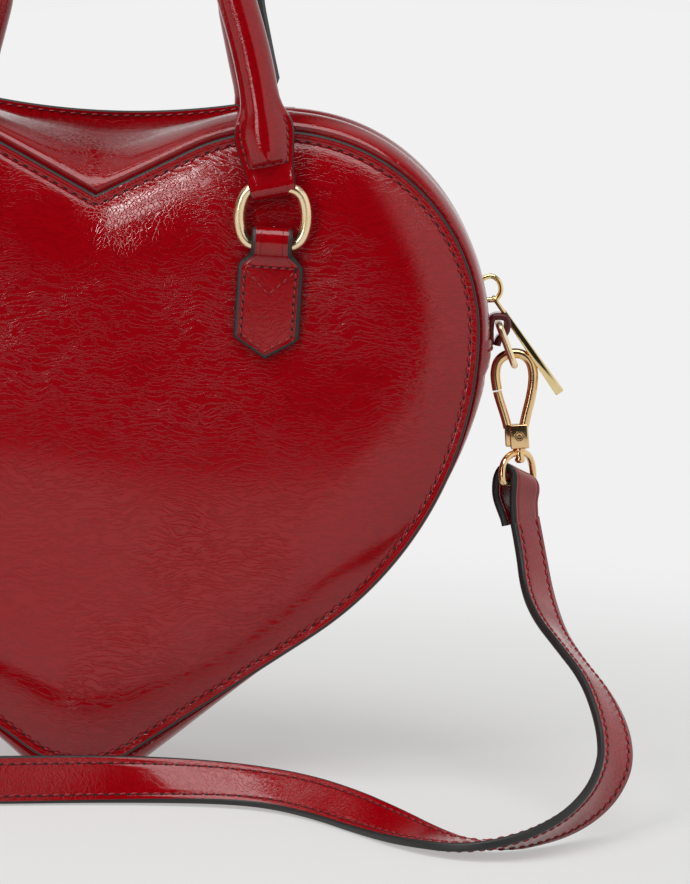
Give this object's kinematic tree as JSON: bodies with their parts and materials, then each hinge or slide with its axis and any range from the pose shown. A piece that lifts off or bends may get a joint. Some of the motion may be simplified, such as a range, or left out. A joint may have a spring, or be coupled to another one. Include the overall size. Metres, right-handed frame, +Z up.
{
  "type": "heart shaped handbag",
  "caption": "Heart shaped leather handbag with crowned panels, a bulging gusset, a zip over one lobe, rolled top handles on rings and a flat shoulder strap on snap hooks.",
  "frame": {"origin": "middle of the flat under the heart's tip, on which the bag stands", "axes": "+Z up through the cleft, +X towards the zip's side, -Y the front"},
  "size_m": [0.4229, 0.1919, 0.3023],
  "materials": {
    "red_leather": "glossy crinkled",
    "lining_fabric": "woven twill",
    "padding": "open-cell foam",
    "zip_tape": "woven tape",
    "zip_teeth": "antique gold",
    "rope_core": "twisted cotton",
    "gold_metal": "polished plated",
    "spring_steel": "plain"
  },
  "bodies": {
    "root": {"front_panel": "red_leather", "rear_panel": "red_leather", "body_gusset": "red_leather", "cleft_seam_band": "red_leather", "zip_strip_front": "red_leather", "zip_strip_rear": "red_leather", "right_side_tab": "red_leather", "left_side_tab": "red_leather", "right_strap_end": "red_leather", "left_strap_end": "red_leather", "shoulder_strap": "red_leather", "front_right_handle_tab": "red_leather", "front_left_handle_tab": "red_leather", "rear_right_handle_tab": "red_leather", "rear_left_handle_tab": "red_leather", "front_lining": "lining_fabric", "rear_lining": "lining_fabric", "gusset_lining": "lining_fabric", "front_foam": "padding", "rear_foam": "padding", "zip_tape_front": "zip_tape", "zip_tape_rear": "zip_tape", "zip_teeth_front": "zip_teeth", "zip_teeth_rear": "zip_teeth", "zip_stops": "zip_teeth", "right_swivel_eye": "gold_metal", "left_swivel_eye": "gold_metal"},
    "zip_slider": {"zip_slider": "gold_metal"},
    "zip_pull": {"zip_pull": "gold_metal"},
    "front_rings": {"front_right_handle_ring": "gold_metal", "front_left_handle_ring": "gold_metal"},
    "front_handle": {"front_handle": "red_leather", "front_handle_core": "rope_core"},
    "rear_rings": {"rear_right_handle_ring": "gold_metal", "rear_left_handle_ring": "gold_metal"},
    "rear_handle": {"rear_handle": "red_leather", "rear_handle_core": "rope_core"},
    "right_side_ring": {"right_side_ring": "gold_metal"},
    "right_hook": {"right_hook_body": "gold_metal", "right_gate_pin": "gold_metal", "right_gate_spring": "spring_steel"},
    "right_gate": {"right_hook_gate": "gold_metal"},
    "left_side_ring": {"left_side_ring": "gold_metal"},
    "left_hook": {"left_hook_body": "gold_metal", "left_gate_pin": "gold_metal", "left_gate_spring": "spring_steel"},
    "left_gate": {"left_hook_gate": "gold_metal"}
  },
  "joints": [
    {"name": "zip_travel", "type": "hinge", "parent": "root", "child": "zip_slider", "pos_m": [0.0594, 0, 0.14645], "axis": [0, -1, 0], "range_deg": [0, 69], "deforming": ["zip_teeth_front", "zip_teeth_rear", "zip_tape_front", "zip_tape_rear"]},
    {"name": "zip_pull_swing", "type": "hinge", "parent": "zip_slider", "child": "zip_pull", "pos_m": [0.12936, 0, 0.15999], "axis": [0, -1, 0], "range_deg": [0, 60]},
    {"name": "front_ring_swing", "type": "hinge", "parent": "root", "child": "front_rings", "pos_m": [0, -0.04315, 0.17485], "axis": [1, 0, 0], "range_deg": [0, 110]},
    {"name": "front_handle_swing", "type": "hinge", "parent": "front_rings", "child": "front_handle", "pos_m": [0, -0.04315, 0.19405], "axis": [1, 0, 0], "range_deg": [-10, 70]},
    {"name": "rear_ring_swing", "type": "hinge", "parent": "root", "child": "rear_rings", "pos_m": [0, 0.04315, 0.17485], "axis": [-1, 0, 0], "range_deg": [0, 110]},
    {"name": "rear_handle_swing", "type": "hinge", "parent": "rear_rings", "child": "rear_handle", "pos_m": [0, 0.04315, 0.19405], "axis": [-1, 0, 0], "range_deg": [-10, 70]},
    {"name": "right_ring_swing", "type": "hinge", "parent": "root", "child": "right_side_ring", "pos_m": [0.13325, 0, 0.14895], "axis": [0, 1, 0], "range_deg": [0, 6]},
    {"name": "right_hook_swivel", "type": "hinge", "parent": "root", "child": "right_hook", "pos_m": [0.14053, 0, 0.10859], "axis": [-0.0976, 0, 0.9952], "range_deg": [-25, 25]},
    {"name": "right_gate_turn", "type": "hinge", "parent": "right_hook", "child": "right_gate", "pos_m": [0.14012, 0, 0.11277], "axis": [0, 1, 0], "range_deg": [0, 12], "stiffness_Nm_per_rad": 0.01, "springref_deg": -11.46, "deforming": ["right_gate_spring"]},
    {"name": "left_ring_swing", "type": "hinge", "parent": "root", "child": "left_side_ring", "pos_m": [-0.13325, 0, 0.14895], "axis": [0, -1, 0], "range_deg": [0, 6]},
    {"name": "left_hook_swivel", "type": "hinge", "parent": "root", "child": "left_hook", "pos_m": [-0.14053, 0, 0.10859], "axis": [0.0976, 0, 0.9952], "range_deg": [-25, 25]},
    {"name": "left_gate_turn", "type": "hinge", "parent": "left_hook", "child": "left_gate", "pos_m": [-0.14012, 0, 0.11277], "axis": [0, -1, 0], "range_deg": [0, 12], "stiffness_Nm_per_rad": 0.01, "springref_deg": -11.46, "deforming": ["left_gate_spring"]}
  ]
}
